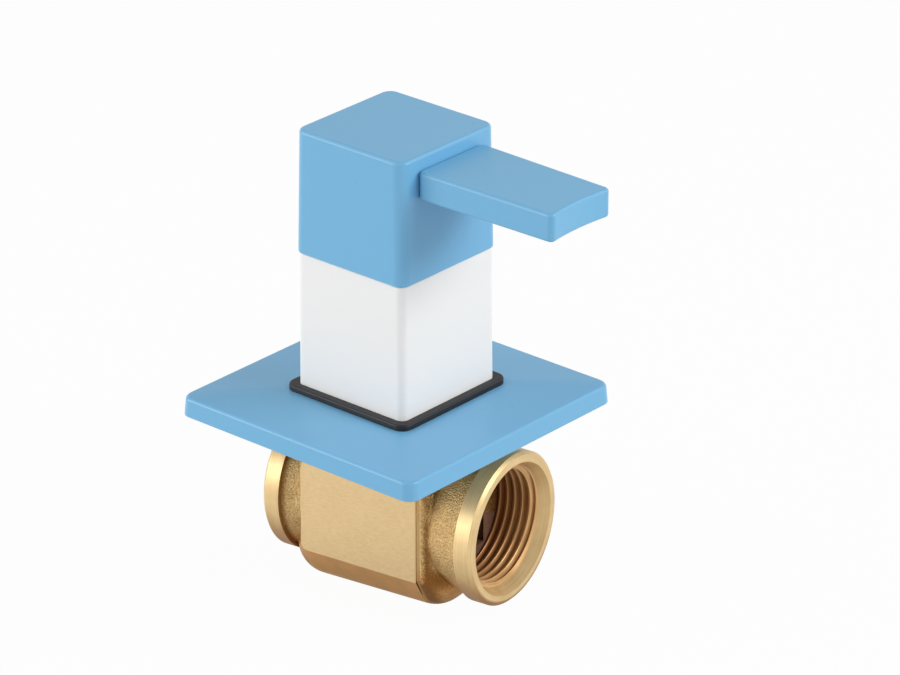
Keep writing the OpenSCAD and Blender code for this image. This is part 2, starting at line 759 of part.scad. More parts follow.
module handle_block() {
    rib_t = 1.6;
    hub_foot = insert_z - 1.5;
    peg_hole_r = peg_r + slip;
    color(blue) difference() {
        translate([0, 0, handle_z])
            leaning_block(handle_w / 2, handle_top_w / 2, handle_h, handle_corner, handle_edge);
        difference() {
            translate([0, 0, handle_z - cut]) linear_extrude(roof_z - handle_z + cut)
                rounded_square(cavity_half, 1.2);
            translate([0, 0, hub_foot]) cylinder(d = hub_d, h = roof_z - hub_foot + cut);
            for (turn = [45, 135])
                rotate([0, 0, turn]) translate([0, 0, hub_foot + 4 + (roof_z - hub_foot) / 2])
                    cube([2 * handle_w, rib_t, roof_z - hub_foot], center = true);
        }
        translate([0, 0, hub_foot - cut])
            cylinder(d = insert_d + 2 * slip, h = insert_z - hub_foot + insert_h + 0.2 + cut);
        translate([0, 0, grub_z]) rotate([0, -90, 0])
            cylinder(d = grub_d + 2 * slip, h = handle_w, $fn = 48);
        for (side = [-1, 1])
            translate([cavity_half - cut, side * lever_screw_pitch / 2, lever_mid_z]) rotate([0, 90, 0])
                cylinder(r = peg_hole_r, h = handle_w / 2, $fn = 48);
    }
}

module handle_insert() {
    color("#c6a262") translate([0, 0, insert_z]) difference() {
        cylinder(d = insert_d, h = insert_h);
        translate([0, 0, -cut]) linear_extrude(insert_h + 2 * cut)
            polygon(spline_points(extension_d / 2 - 0.3 + slip, extension_d / 2 - 0.9 + slip, 20));
        translate([0, 0, grub_z - insert_z]) rotate([0, -90, 0])
            cylinder(d = grub_d + 2 * slip, h = insert_d, $fn = 48);
    }
}

module grub_screw() {
    start = grub_seat_r + 0.05;
    color("#a7abb0") translate([0, 0, grub_z]) rotate([0, -90, 0]) difference() {
        union() {
            translate([0, 0, start]) cylinder(d1 = grub_d - 1.6, d2 = grub_d, h = 0.8, $fn = 48);
            translate([0, 0, start + 0.8]) cylinder(d = grub_d, h = grub_len - 0.8, $fn = 48);
        }
        translate([0, 0, start + grub_len - 2.2]) cylinder(d = grub_d / 2, h = 3, $fn = 6);
    }
}

module screw_plug() {
    face = handle_w / 2 - block_lean * (grub_z - handle_z) - 0.1;
    color(blue) translate([0, 0, grub_z]) rotate([0, -90, 0])
        translate([0, 0, face - plug_t]) cylinder(d = grub_d, h = plug_t, $fn = 48);
}

// Lever

module lever() {
    h = lever_t;
    half_root = lever_w / 2;
    half_tip = lever_tip_w / 2;
    corner = lever_corner;
    tip_x = lever_reach;
    hollow_r = (half_tip * half_tip + tip_hollow * tip_hollow) / 2 / tip_hollow;
    corners = [for (side = [-1, 1], end = [0, 1])
        end == 0 ? [lever_root_x + corner, side * (half_root - corner)]
                 : [tip_x - corner, side * (half_tip - corner)]];
    color(blue) difference() {
        union() {
            translate([0, 0, lever_mid_z]) hull() for (p = corners, up = [0, 1])
                translate(p) mirror([0, 0, up]) translate([0, 0, h / 2 - lever_edge])
                    rounded_end(corner, lever_edge);
            for (side = [-1, 1])
                translate([lever_root_x - peg_len, side * lever_screw_pitch / 2, lever_mid_z])
                    rotate([0, 90, 0]) cylinder(r = peg_r, h = peg_len + 1, $fn = 48);
        }
        translate([tip_x - tip_hollow + hollow_r, 0, lever_top_z - h - cut])
            cylinder(r = hollow_r, h = h + 2 * cut, $fn = 192);
        for (side = [-1, 1])
            translate([lever_root_x - peg_len - cut, side * lever_screw_pitch / 2, lever_mid_z])
                rotate([0, 90, 0])
                    cylinder(d = lever_screw_d + 2 * slip, h = lever_screw_len + lever_screw_spare,
                             $fn = 48);
    }
}

module lever_screws() {
    head_x = cavity_half - lever_washer_t - lever_head_h;
    color("#a7abb0") for (side = [-1, 1])
        translate([head_x, side * lever_screw_pitch / 2, lever_mid_z]) rotate([0, 90, 0]) difference() {
            union() {
                cylinder(d1 = (lever_screw_d + lever_head_d) / 2, d2 = lever_head_d, h = lever_head_h,
                         $fn = 48);
                translate([0, 0, lever_head_h - 0.5])
                    cylinder(d = lever_screw_d, h = lever_screw_len + lever_washer_t + 0.5, $fn = 48);
            }
            for (turn = [0, 90])
                rotate([0, 0, turn]) cube(lever_slot, center = true);
        }
}

module lever_washers() {
    color("#b9bcc0") for (side = [-1, 1])
        translate([cavity_half - lever_washer_t, side * lever_screw_pitch / 2, lever_mid_z])
            rotate([0, 90, 0]) ring(lever_washer_d / 2, lever_screw_d / 2 + 0.2, lever_washer_t, $fn = 48);
}

valve_body();
seat_seal();
headwork_body();
headwork_seal();
fixed_disc();
moving_disc();
spindle();
spindle_o_rings();
slip_washer();
stop_ring();
retaining_clip();
stem_extension();
extension_screw();
sleeve_carrier();
sleeve();
sleeve_screws();
guide_bush();
wall_plate();
gasket();
handle_block();
handle_insert();
grub_screw();
screw_plug();
lever();
lever_screws();
lever_washers();
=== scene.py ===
from math import cos, pi, radians, sin

import bpy
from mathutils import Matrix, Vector


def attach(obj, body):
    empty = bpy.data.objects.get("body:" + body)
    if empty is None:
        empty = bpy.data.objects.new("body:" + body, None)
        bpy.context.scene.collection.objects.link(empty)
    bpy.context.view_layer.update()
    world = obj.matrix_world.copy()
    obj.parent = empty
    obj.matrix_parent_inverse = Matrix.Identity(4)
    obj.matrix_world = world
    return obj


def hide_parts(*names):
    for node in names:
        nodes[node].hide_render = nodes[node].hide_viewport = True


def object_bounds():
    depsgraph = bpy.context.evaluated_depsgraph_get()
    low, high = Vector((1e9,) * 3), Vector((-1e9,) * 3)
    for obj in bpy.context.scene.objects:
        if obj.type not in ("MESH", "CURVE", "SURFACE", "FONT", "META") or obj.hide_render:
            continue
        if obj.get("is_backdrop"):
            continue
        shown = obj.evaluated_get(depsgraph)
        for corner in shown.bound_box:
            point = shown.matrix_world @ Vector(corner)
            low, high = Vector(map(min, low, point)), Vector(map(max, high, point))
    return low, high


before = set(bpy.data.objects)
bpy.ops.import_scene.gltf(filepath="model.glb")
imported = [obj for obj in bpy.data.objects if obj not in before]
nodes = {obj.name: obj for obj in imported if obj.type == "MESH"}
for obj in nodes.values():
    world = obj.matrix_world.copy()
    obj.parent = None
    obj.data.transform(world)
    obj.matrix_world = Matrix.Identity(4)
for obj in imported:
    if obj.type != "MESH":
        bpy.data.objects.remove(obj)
cad_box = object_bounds()
mm = 0.001

# Camera
# A long lens above the corner between the near left side and the lever's side, at the angle of
# the photograph. It aims a little past the stem, at the middle of the picture.
view_turn = radians(40.96)
view_rise = radians(24.8)
aim = Vector((0.0075, 0.0126, 0.0180))
distance = 1.3129
focal_pixels = 5042
picture_pixels = 900
back = Vector((sin(view_turn) * cos(view_rise), -cos(view_turn) * cos(view_rise), sin(view_rise)))
bpy.ops.object.camera_add(location=aim + distance * back)
camera = bpy.context.object
camera.rotation_euler = (-back).to_track_quat("-Z", "Y").to_euler()
camera.data.sensor_width = 36
camera.data.lens = focal_pixels / picture_pixels * camera.data.sensor_width
camera.data.clip_start = 0.05
camera.data.clip_end = 60
scene = bpy.context.scene
scene.camera = camera
scene.view_settings.view_transform = "Standard"


# Floor and light
# A white floor lies under the lowest point of the body and shows a faint shadow. Two soft panels
# stand left and right of the view, and two small ones light the upper edges.
class Value:
    """A value in a material's nodes. Sums and products of such values become its Math nodes."""

    def __init__(self, tree, socket=None):
        self.tree, self.socket = tree, socket

    def node(self, kind, settings, inputs, output=0):
        """Adds any node: its settings first, with a ramp's stops among them, then its sockets."""
        made = self.tree.nodes.new("ShaderNode" + kind)
        for name, setting in settings.items():
            if name == "stops":
                ramp = made.color_ramp.elements
                ramp[0].position, ramp[0].color = setting[0]
                ramp[1].position, ramp[1].color = setting[-1]
                for place, color in setting[1:-1]:
                    ramp.new(place).color = color
            else:
                setattr(made, name, setting)
        for name, value in inputs.items():
            if isinstance(value, Value):
                self.tree.links.new(value.socket, made.inputs[name])
            else:
                made.inputs[name].default_value = value
        return Value(self.tree, made.outputs[output])

    def math(self, operation, first, second=0.0):
        return self.node("Math", {"operation": operation}, {0: first, 1: second})

    def __add__(self, other):
        return self.math("ADD", self, other)

    def __sub__(self, other):
        return self.math("SUBTRACT", self, other)

    def __rsub__(self, other):
        return self.math("SUBTRACT", other, self)

    def __mul__(self, other):
        return self.math("MULTIPLY", self, other)

    __radd__, __rmul__ = __add__, __mul__

    def band(self, low, high):
        """0 below low, 1 above high, and smooth between them."""
        inputs = {"Value": self, "From Min": low, "From Max": high}
        return self.node("MapRange", {"interpolation_type": "SMOOTHSTEP"}, inputs)

    def tint(self, low_color, high_color):
        """low_color where this value is 0, high_color where it is 1."""
        return self.node("Mix", {"data_type": "RGBA"}, {0: self, 6: low_color, 7: high_color}, 2)


world = bpy.data.worlds.new("studio")
scene.world = world
world.use_nodes = True
sky = world.node_tree
air = Value(sky)
white = (1, 1, 1, 1)
ray = air.node("TexCoord", {}, {}, "Generated")
rise = air.node("SeparateXYZ", {}, {0: ray}, "Z")
# Light from straight above is under half as strong as light from the sides
bright = 1 - rise.band(-0.1, 0.8) * 0.56
seen = air.node("LightPath", {}, {}, "Is Camera Ray")
level = air.node("Mix", {}, {0: seen, 2: bright, 3: 1.0})
sky.nodes["Background"].inputs["Color"].default_value = white
sky.links.new(level.socket, sky.nodes["Background"].inputs["Strength"])

floor_gap = 0.2 * mm
bpy.ops.mesh.primitive_plane_add(size=30, location=(0, 0, cad_box[0].z - floor_gap))
floor = bpy.context.object
floor.name = "floor"
floor_paint = bpy.data.materials.new("floor_paint")
floor_paint.use_nodes = True
paint = floor_paint.node_tree
ground = Value(paint)
seen = ground.node("LightPath", {}, {}, "Is Camera Ray")
mirrored = ground.node("LightPath", {}, {}, "Is Glossy Ray")
spot = ground.node("TexCoord", {}, {}, "Object")
away = ground.node("VectorMath", {"operation": "LENGTH"}, {0: spot}, "Value")
# The metal mirrors a white floor with a painted shadow, about half as bright close to the body
shaded = away.band(10 * mm, 70 * mm) * 0.55 + 0.45
glow = ground.node("Emission", {}, {"Color": white, "Strength": 1.0})
mirror_glow = ground.node("Emission", {}, {"Color": white, "Strength": shaded})
matte = ground.node("BsdfDiffuse", {}, {"Color": (0.55, 0.55, 0.55, 1)})
shadow_share = 0.03
lit = ground.node("MixShader", {}, {0: seen * (1 - shadow_share), 1: matte, 2: glow})
upper = ground.node("MixShader", {}, {0: mirrored, 1: lit, 2: mirror_glow})
# From below the floor is clear, so the underside can be seen
clear = ground.node("BsdfTransparent", {}, {})
behind = ground.node("NewGeometry", {}, {}, "Backfacing")
blended = ground.node("MixShader", {}, {0: behind, 1: upper, 2: clear})
floor_paint.cycles.emission_sampling = "NONE"
paint.links.new(blended.socket, paint.nodes["Material Output"].inputs["Surface"])
floor.data.materials.append(floor_paint)
floor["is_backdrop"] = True


def panel(name, place, target, width, height, watts):
    """A rectangular lamp that faces a target."""
    bpy.ops.object.light_add(type="AREA", location=place)
    lamp = bpy.context.object
    lamp.name = name
    lamp.rotation_euler = (Vector(target) - Vector(place)).to_track_quat("-Z", "Y").to_euler()
    lamp.data.shape, lamp.data.size, lamp.data.size_y = "RECTANGLE", width, height
    lamp.data.energy = watts


middle = (0, 0, 0.01)
panel("left_panel", (-0.75, -0.95, 0.22), middle, 1.2, 0.4, 7.6)
panel("right_panel", (1.0, 0.3, 0.6), middle, 0.6, 0.4, 6.7)
panel("left_edge_light", (-0.71, -0.5, 0.84), middle, 0.3, 0.3, 0.8)
panel("right_edge_light", (0.5, 0.82, 0.73), middle, 0.3, 0.3, 0.8)


# Valve body
# The body is sand-cast brass. Its two wrench flats are brushed, its two collars and the mouths
# are turned, and both ends are tapped. Cored chambers lead to the seat and away from it.
pipe_depth = 25.4 * mm
body_turn = radians(7.6)
flats_half = 18.2 * mm
inlet_end = -28.8 * mm
outlet_end = 36.4 * mm
collar_radius = 20.8 * mm
collar_width = 5.2 * mm
thread_radius = 16.625 * mm
tapped_radius = 15.147 * mm
pitch = 2.309 * mm
mouth = 3 * mm
mouth_flare = 1.4 * mm
boss_top = 18.9 * mm
boss_thread_radius = 12.1 * mm


def hold(piece):
    """Selects one piece alone and makes it the one that is worked on."""
    bpy.ops.object.select_all(action="DESELECT")
    piece.select_set(True)
    bpy.context.view_layer.objects.active = piece
    return piece


def fuse(piece, others):
    """Joins other objects into a piece as they are."""
    hold(piece)
    for other in others:
        other.select_set(True)
    bpy.ops.object.join()
    return piece


def settle(piece):
    """Puts the place, turn and size of a piece into its mesh."""
    hold(piece)
    bpy.ops.object.transform_apply(location=True, rotation=True, scale=True)
    return piece


def modify(piece, kind, **settings):
    """Adds a modifier and applies it."""
    hold(piece)
    change = piece.modifiers.new(kind.lower(), kind)
    for name, setting in settings.items():
        setattr(change, name, setting)
    bpy.ops.object.modifier_apply(modifier=change.name)
    return piece


def carve(piece, tool, operation="DIFFERENCE"):
    """Cuts a tool out of a piece, or welds it on, and clears the tool away."""
    modify(piece, "BOOLEAN", object=tool, operation=operation, solver="MANIFOLD")
    bpy.data.objects.remove(tool)
    return piece


def turned(name, profile, axis="Z", steps=96):
    """Turns a closed outline of (along, radius) points on a lathe. Both its ends lie on the axis."""
    bpy.ops.mesh.primitive_plane_add(size=mm)
    piece = bpy.context.object
    piece.name = name
    bpy.ops.object.mode_set(mode="EDIT")
    bpy.ops.mesh.merge(type="CENTER")
    bpy.ops.mesh.select_all(action="SELECT")
    bpy.ops.transform.translate(value=(profile[0][1], 0, profile[0][0]))
    for (z0, r0), (z1, r1) in zip(profile, profile[1:]):
        bpy.ops.mesh.extrude_vertices_move(TRANSFORM_OT_translate={"value": (r1 - r0, 0, z1 - z0)})
    bpy.ops.mesh.select_all(action="SELECT")
    bpy.ops.mesh.spin(steps=steps, angle=2 * pi, center=(0, 0, 0), axis=(0, 0, 1))
    bpy.ops.mesh.select_all(action="SELECT")
    bpy.ops.mesh.remove_doubles(threshold=0.0005 * mm)
    bpy.ops.mesh.normals_make_consistent(inside=False)
    bpy.ops.object.mode_set(mode="OBJECT")
    if axis == "X":
        piece.rotation_euler = (0, pi / 2, 0)
        settle(piece)
    return piece


def block(name, low, high, corner=0.0, segments=6):
    """A box from one corner to the opposite one, with its upright edges rounded."""
    low, high = Vector(low), Vector(high)
    bpy.ops.mesh.primitive_cube_add(size=1, location=(low + high) / 2)
    piece = bpy.context.object
    piece.name = name
    piece.scale = high - low
    settle(piece)
    if corner:
        pick(piece, "EDGE", lambda edge: upright(piece, edge))
        bpy.ops.mesh.bevel(offset=corner, segments=segments, affect="EDGES")
        bpy.ops.object.mode_set(mode="OBJECT")
    return piece


def pick(piece, kind, wanted):
    """Opens a piece in edit mode with only the edges or faces selected that a test wants."""
    hold(piece)
    bpy.ops.object.mode_set(mode="EDIT")
    bpy.ops.mesh.select_mode(type=kind)
    bpy.ops.mesh.select_all(action="DESELECT")
    bpy.ops.object.mode_set(mode="OBJECT")
    for item in piece.data.edges if kind == "EDGE" else piece.data.polygons:
        item.select = wanted(item)
    bpy.ops.object.mode_set(mode="EDIT")


def upright(piece, edge):
    """Whether an edge stands more or less along Z."""
    start, end = (piece.data.vertices[i].co for i in edge.vertices)
    along = end - start
    return abs(along.z) > 0.98 * along.length


def hulled(name, parts):
    """Stretches one skin over several primitives."""
    piece = fuse(parts[0], parts[1:])
    piece.name = name
    settle(piece)
    bpy.ops.object.mode_set(mode="EDIT")
    bpy.ops.mesh.select_all(action="SELECT")
    bpy.ops.mesh.convex_hull()
    bpy.ops.object.mode_set(mode="OBJECT")
    return piece


def ball(place, radius):
    """A ball that gives a hull its rounding."""
    bpy.ops.mesh.primitive_uv_sphere_add(segments=48, ring_count=24, radius=radius, location=place)
    return bpy.context.object


def rod(x, z, radius, length):
    """A round bar across the body, along Y."""
    bpy.ops.mesh.primitive_cylinder_add(
        vertices=32, radius=radius, depth=length, location=(x, 0, z), rotation=(pi / 2, 0, 0))
    return bpy.context.object


def casting_half(name, start, end, across, low, high, belly_from, belly_to):
    """The block of the body between two places on the pipe axis, with its round belly below."""
    edge = 1.0 * mm
    shoulder = 4 * mm
    inset = 0.5 * mm
    crown = 3 * mm
    belly = 9.5 * mm
    belly_side = 6.7 * mm
    belly_depths = 23.9 * mm, 23.5 * mm
    parts = [rod(x, z, edge, 2 * across)
             for x in (start + edge, end - edge) for z in (low + edge, high - edge)]
    parts += [ball((x, side * (across - shoulder - inset), high + crown - shoulder), shoulder)
              for x in (start + shoulder + inset, end - shoulder - inset) for side in (-1, 1)]
    parts += [ball((x, side * belly_side, belly - deep), belly) for side in (-1, 1)
              for x, deep in zip((belly_from + belly, belly_to - belly), belly_depths)]
    return hulled(name, parts)


# The rough casting, a little thicker than the finished flats
skin = 0.5 * mm
block_start = -17.8 * mm
block_end = 19.9 * mm
belly_start = -25.2 * mm
casting = casting_half("valve_body_casting", block_start, block_end, flats_half + skin,
                       -12.4 * mm, 13 * mm, belly_start, 26.2 * mm)


def neck(start_radius, start, end, bend):
    """Points of a neck that swells to its collar on a curve."""
    steps = 10
    rise = collar_radius - 0.9 * mm - start_radius
    return [(start + (end - start) * i / steps, start_radius + rise * (i / steps) ** bend)
            for i in range(steps + 1)]


outlet_neck = neck(16.4 * mm, 20 * mm, outlet_end - collar_width + skin, 0.5)
inlet_neck = neck(18.1 * mm, -18.4 * mm, inlet_end + collar_width - skin, 1.7)
necks = turned("necks", [(inlet_neck[-1][0], 0)] + inlet_neck[::-1] + outlet_neck
               + [(outlet_neck[-1][0], 0)], "X")
boss_radius = 15 * mm
boss = turned("boss", [(0, 0), (0, boss_radius), (13.5 * mm, 16.5 * mm), (17 * mm, boss_radius),
                       (boss_top + skin, boss_radius), (boss_top + skin, 0)])
fuse(casting, [necks, boss])
modify(casting, "REMESH", mode="VOXEL", voxel_size=0.34 * mm)
modify(casting, "SMOOTH", factor=0.5, iterations=5)

# What is machined: the flats, the collars, the boss and both ends
clear_of_body = 24 * mm
for side in (-1, 1):
    near, far = sorted((side * flats_half, side * clear_of_body))
    carve(casting, block("mill", (-20 * mm, near, -16 * mm), (18.35 * mm, far, 16 * mm)))
# The groove between the right end of the flats and the bead that runs round the body
groove_start = 18.05 * mm
groove_end = 18.6 * mm
groove_depth = 0.16 * mm
slab = block("slab", (groove_start, -clear_of_body, -26 * mm), (groove_end, clear_of_body, 13 * mm))
core = casting_half("core", 10 * mm, block_end, flats_half - groove_depth, -12.3 * mm, 14 * mm,
                    belly_start, 25.8 * mm)
carve(slab, core)
carve(casting, slab)
chamfer = 0.8 * mm
break_edge = 0.1 * mm
for name, end, inward in (("inlet_collar", inlet_end, 1), ("outlet_collar", outlet_end, -1)):
    inner = end + inward * collar_width
    outline = [(end, 0), (end, collar_radius - chamfer), (end + inward * chamfer, collar_radius),
               (inner - inward * break_edge, collar_radius), (inner, collar_radius - break_edge), (inner, 0)]
    carve(casting, turned(name, outline, "X", 128), "UNION")
seat_top = -5 * mm
facing_radius = 18 * mm
facing_top = boss_top + 4 * mm
facing = turned("facing", [(seat_top, 0), (seat_top, boss_thread_radius), (boss_top, boss_thread_radius),
                           (boss_top, facing_radius), (facing_top, facing_radius), (facing_top, 0)])
carve(casting, facing)


def tapping(name, turns):
    """The tap for a pipe end, with its mouth at the origin and its thread along +Z."""
    depth = thread_radius - tapped_radius
    run = turns * pitch
    relief = mouth + run + 0.5 * mm
    # The cutter starts 1 mm outside the mouth, where its cone is a third wider
    tap = turned(name, [(-mm, 0), (-mm, thread_radius + mouth_flare * 4 / 3),
                        (mouth, thread_radius), (mouth + 0.4 * pitch, tapped_radius),
                        (mouth + run, tapped_radius), (mouth + run, thread_radius),
                        (relief, thread_radius), (relief, 0)], steps=128)
    # One pitch of the rounded thread, swept along a helix and trimmed flat at both ends
    bpy.ops.mesh.primitive_plane_add(size=mm)
    thread = bpy.context.object
    bpy.ops.object.mode_set(mode="EDIT")
    bpy.ops.mesh.merge(type="CENTER")
    bpy.ops.mesh.select_all(action="SELECT")
    bpy.ops.transform.translate(value=(tapped_radius - 0.02 * mm, 0, mouth - 1.5 * pitch))
    for share, rise in ((0.1, 0), (0.14, 0.12), (0.22, 0.66), (0.08, 0.22),
                        (0.1, 0), (0.08, -0.22), (0.18, -0.66), (0.1, -0.12)):
        step = (rise * depth, 0, share * pitch)
        bpy.ops.mesh.extrude_vertices_move(TRANSFORM_OT_translate={"value": step})
    bpy.ops.object.mode_set(mode="OBJECT")
    modify(thread, "SCREW", axis="Z", angle=2 * pi, screw_offset=pitch, iterations=turns + 3,
           steps=96, render_steps=96, use_merge_vertices=True, merge_threshold=0.001 * mm)
    bpy.ops.object.mode_set(mode="EDIT")
    for height, outer in ((mouth - 0.3 * pitch, False), (mouth + run + 0.2 * mm, True)):
        bpy.ops.mesh.select_all(action="SELECT")
        bpy.ops.mesh.bisect(plane_co=(0, 0, height), plane_no=(0, 0, 1), use_fill=True,
                            clear_inner=not outer, clear_outer=outer)
    bpy.ops.mesh.select_all(action="SELECT")
    bpy.ops.mesh.remove_doubles(threshold=0.0005 * mm)
    bpy.ops.mesh.normals_make_consistent(inside=False)
    bpy.ops.object.mode_set(mode="OBJECT")
    return carve(tap, thread, "UNION")


for name, end, turns, tilt in (("inlet_tap", inlet_end, 4, pi / 2), ("outlet_tap", outlet_end, 5, -pi / 2)):
    tap = tapping(name, turns)
    tap.location, tap.rotation_euler = (end, 0, 0), (0, tilt, 0)
    carve(casting, settle(tap))

# Cored chambers: under the seat from the inlet, over the seat to the outlet, and the seat's hole
inlet_half = 9.5 * mm
outlet_half = 10.5 * mm
outlet_reach = 21.7 * mm
outlet_top = 11.5 * mm
for name, low, high in (
        ("inlet_core", (-18.96 * mm, -inlet_half, -20 * mm), (9.5 * mm, inlet_half, -9.5 * mm)),
        ("outlet_core", (0, -outlet_half, seat_top), (outlet_reach, outlet_half, outlet_top)),
        ("outlet_floor", (12.5 * mm, -outlet_half, -11.5 * mm), (outlet_reach, outlet_half, outlet_top))):
    carve(casting, block(name, low, high, 3 * mm))
seat_radius = 7 * mm
carve(casting, turned("seat_hole", [(-11 * mm, 0), (-11 * mm, seat_radius), (-4 * mm, seat_radius),
                                    (-4 * mm, 0)]))


def srgb(red, green, blue):
    """A colour of 0 to 255, as a screen shows it, in the linear values that a shader takes."""
    parts = [part / 255 for part in (red, green, blue)]
    return [part / 12.92 if part < 0.04045 else ((part + 0.055) / 1.055) ** 2.4 for part in parts] + [1]


def brass(name, light, dark, metal, roughness, scales, depth, shade):
    """Brass with a noise, stretched along the pipe's own directions, for its tint and its bumps."""
    made = bpy.data.materials.new(name)
    made.use_nodes = True
    tree = made.node_tree
    start = Value(tree)
    place = start.node("TexCoord", {}, {}, "Object")
    place = start.node("Mapping", {}, {"Vector": place, "Rotation": (0, 0, -body_turn),
                                       "Location": (0, 0, pipe_depth / mm), "Scale": (1 / mm,) * 3})
    along, across, up = (start.node("SeparateXYZ", {}, {0: place}, axis) for axis in range(3))
    radius = start.math("SQRT", across * across + up * up)
    if scales == "rings":
        stretched = start.node("CombineXYZ", {}, {0: along * 4, 1: radius * 4, 2: across * 0.05})
    else:
        stretched = start.node("Mapping", {}, {"Vector": place, "Scale": scales})
    grain = start.node("TexNoise", {}, {"Vector": stretched, "Scale": 1, "Detail": 3, "Roughness": 0.6})
    patch = start.node("TexNoise", {}, {"Vector": place, "Scale": 0.18, "Detail": 2})
    share, relief, pale = shade(along, across, up, radius, grain, srgb(*light))
    speckle, blotches, usual = 1.3, 0.25, 0.6
    mix = ((grain - 0.5) * relief * speckle + (patch - 0.5) * blotches + usual) * share
    tint = mix.band(0, 1).tint(srgb(*dark), pale)
    bump = start.node("Bump", {}, {"Strength": 1, "Distance": depth, "Height": grain * relief})
    shader = tree.nodes["Principled BSDF"]
    shader.inputs["Metallic"].default_value = metal
    tree.links.new(tint.socket, shader.inputs["Base Color"])
    tree.links.new((roughness + grain * 0.12).socket, shader.inputs["Roughness"])
    tree.links.new(bump.socket, shader.inputs["Normal"])
    return made


def painted_shade_and_smoothness(along, across, up, radius, grain, pale):
    """Paints shade into the valley and hollow by the right neck and the end of the left neck,
    and darkens the bead.

    The block between the necks is smoother, and everything low on the body is darker and
    warmer: painted shade and a painted warm reflection.
    """
    ragged = across.math("ABSOLUTE", across) + grain * 1.2
    # Painted shade in the valley between the bead and the right neck
    valley = (along.band(18.9, 19.5) - along.band(20.2, 23)) * (1 - ragged.band(17.9, 18.9))
    valley = valley * (1 - up.band(2, 8) * 0.85)
    # Painted shade at the end of the left neck, by its collar
    left = 1 - along.band(-23.4, -22.2)
    bead = along.band(18.4, 18.6) - along.band(19.4, 19.8)
    # Painted shade in the hollow where the right neck meets the belly
    hollow_place = (across + 13.9) * 0.8, (along - 23.2) * 0.8, up + 12.4
    away = across.math("SQRT", sum(part * part for part in hollow_place))
    hollow = 1 - away.band(0.8, 4.8)
    # Painted shade low on the body
    under = 1 - up.band(-24, -12.6)
    smooth = along.band(-18.4, -17.8) * (1 - along.band(19.4, 19.9))
    share = (1 - valley * 0.9) * (1 - left * 0.5) * (1 - bead * 0.45) * (1 - hollow * 0.75)
    # A painted warm reflection on the lower body
    warm = 1 - up.band(-13, -8)
    pale = warm.tint(pale, srgb(236, 180, 112))
    return share * (0.9 + smooth * 0.24 - under * 0.15), 1 - smooth * 0.85, pale


def painted_groove_shade(along, across, up, radius, grain, pale):
    """Paints shade along the ragged edge of the groove at the right end of the flats."""
    # Painted shade in the groove
    groove = (along + grain * 0.7).band(17.8, 18.3)
    return 1 - groove * 0.75, 1 - groove, pale


def painted_collar_shade(along, across, up, radius, grain, pale):
    """Paints shade on the collars' undersides, and darkens the faces and cones of the mouths a little."""
    # Painted shade under the collars
    under = (1 - up.band(-19, 0)) * radius.band(19.2, 20)
    mouth_face = 1 - radius.band(19.2, 20)
    return 1.05 - under * 0.85 - mouth_face * 0.05, 0.3, pale


def painted_bore_shade(along, across, up, radius, grain, pale):
    """Paints shade on the threads, deeper towards the inside of the body."""
    # Painted shade inside the bores
    inner = 1 - along.math("ABSOLUTE", along).band(21, 33)
    return 1 - inner * 0.7, 1, pale


def even(along, across, up, radius, grain, pale):
    """Leaves the rough chambers as they are."""
    return 1, 1, pale


cast_brass = brass("cast_brass", (237, 208, 148), (146, 96, 42), 0.95, 0.36, (2.3, 2.3, 2.3), 0.42 * mm,
                   painted_shade_and_smoothness)
brushed_brass = brass("brushed_brass", (228, 199, 150), (212, 180, 130), 0.75, 0.36, (0.6, 1, 2.8),
                      0.02 * mm, painted_groove_shade)
turned_brass = brass("turned_brass", (248, 221, 164), (160, 110, 56), 0.6, 0.37, "rings", 0.003 * mm, painted_collar_shade)
thread_brass = brass("thread_brass", (228, 184, 122), (150, 94, 48), 0.4, 0.3, "rings",
                     0.003 * mm, painted_bore_shade)
core_brass = brass("core_brass", (118, 80, 58), (92, 62, 46), 0, 0.7, (1.2, 1.2, 1.2), 0.12 * mm, even)

casting.data.materials.clear()
finishes = [cast_brass, brushed_brass, turned_brass, thread_brass, core_brass]
for finish in finishes:
    casting.data.materials.append(finish)

# Each face gets its finish by its place, in mm: along the pipe, off the pipe's axis and off the stem's
inlet_zone, inlet_rim = -23.65, -25.7
outlet_zone, outlet_rim = 31.25, 33.3
thread_reach, neck_reach = 16.7, 19.6
inlet_thread, outlet_thread, stem_clear = -17.0, 21.5, 16
chamber_start, chamber_end, chamber_reach = -19.0, 21.55, 22
chamber_half, chamber_floor, chamber_roof = 12.2, -20.05, 12.2
for face in casting.data.polygons:
    place, normal = face.center / mm, face.normal
    reach = (place.y ** 2 + place.z ** 2) ** 0.5
    stem_reach = (place.x ** 2 + place.y ** 2) ** 0.5
    in_collar = place.x < inlet_zone or place.x > outlet_zone
    on_rim = reach > thread_reach and (place.x < inlet_rim or place.x > outlet_rim or reach > neck_reach)
    on_flat = abs(abs(place.y) - flats_half / mm) < 0.02 and abs(normal.y) > 0.99
    in_thread = (reach < thread_reach and stem_reach > stem_clear
                 and (place.x > outlet_thread or place.x < inlet_thread))
    on_boss = place.z > 18.8 or (abs(stem_reach - boss_thread_radius / mm) < 0.05 and place.z > -5.1)
    in_chamber = (abs(place.y) < chamber_half and chamber_floor < place.z < chamber_roof
                  and chamber_start < place.x < chamber_end and reach < chamber_reach)
    if in_collar:
        finish = turned_brass if on_rim else thread_brass
    elif on_flat:
        finish = brushed_brass
    elif in_thread:
        finish = thread_brass
    elif on_boss:
        finish = turned_brass
    elif in_chamber:
        finish = core_brass
    else:
        finish = cast_brass
    face.material_index = finishes.index(finish)

casting.rotation_euler.z = body_turn
casting.location.z = -pipe_depth
settle(casting)
casting.name = "valve_body_brass"
hold(casting)
bpy.ops.object.shade_smooth_by_angle(angle=radians(30))
modify(casting, "WEIGHTED_NORMAL", keep_sharp=True, weight=100)
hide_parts("valve_body")
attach(casting, "valve")


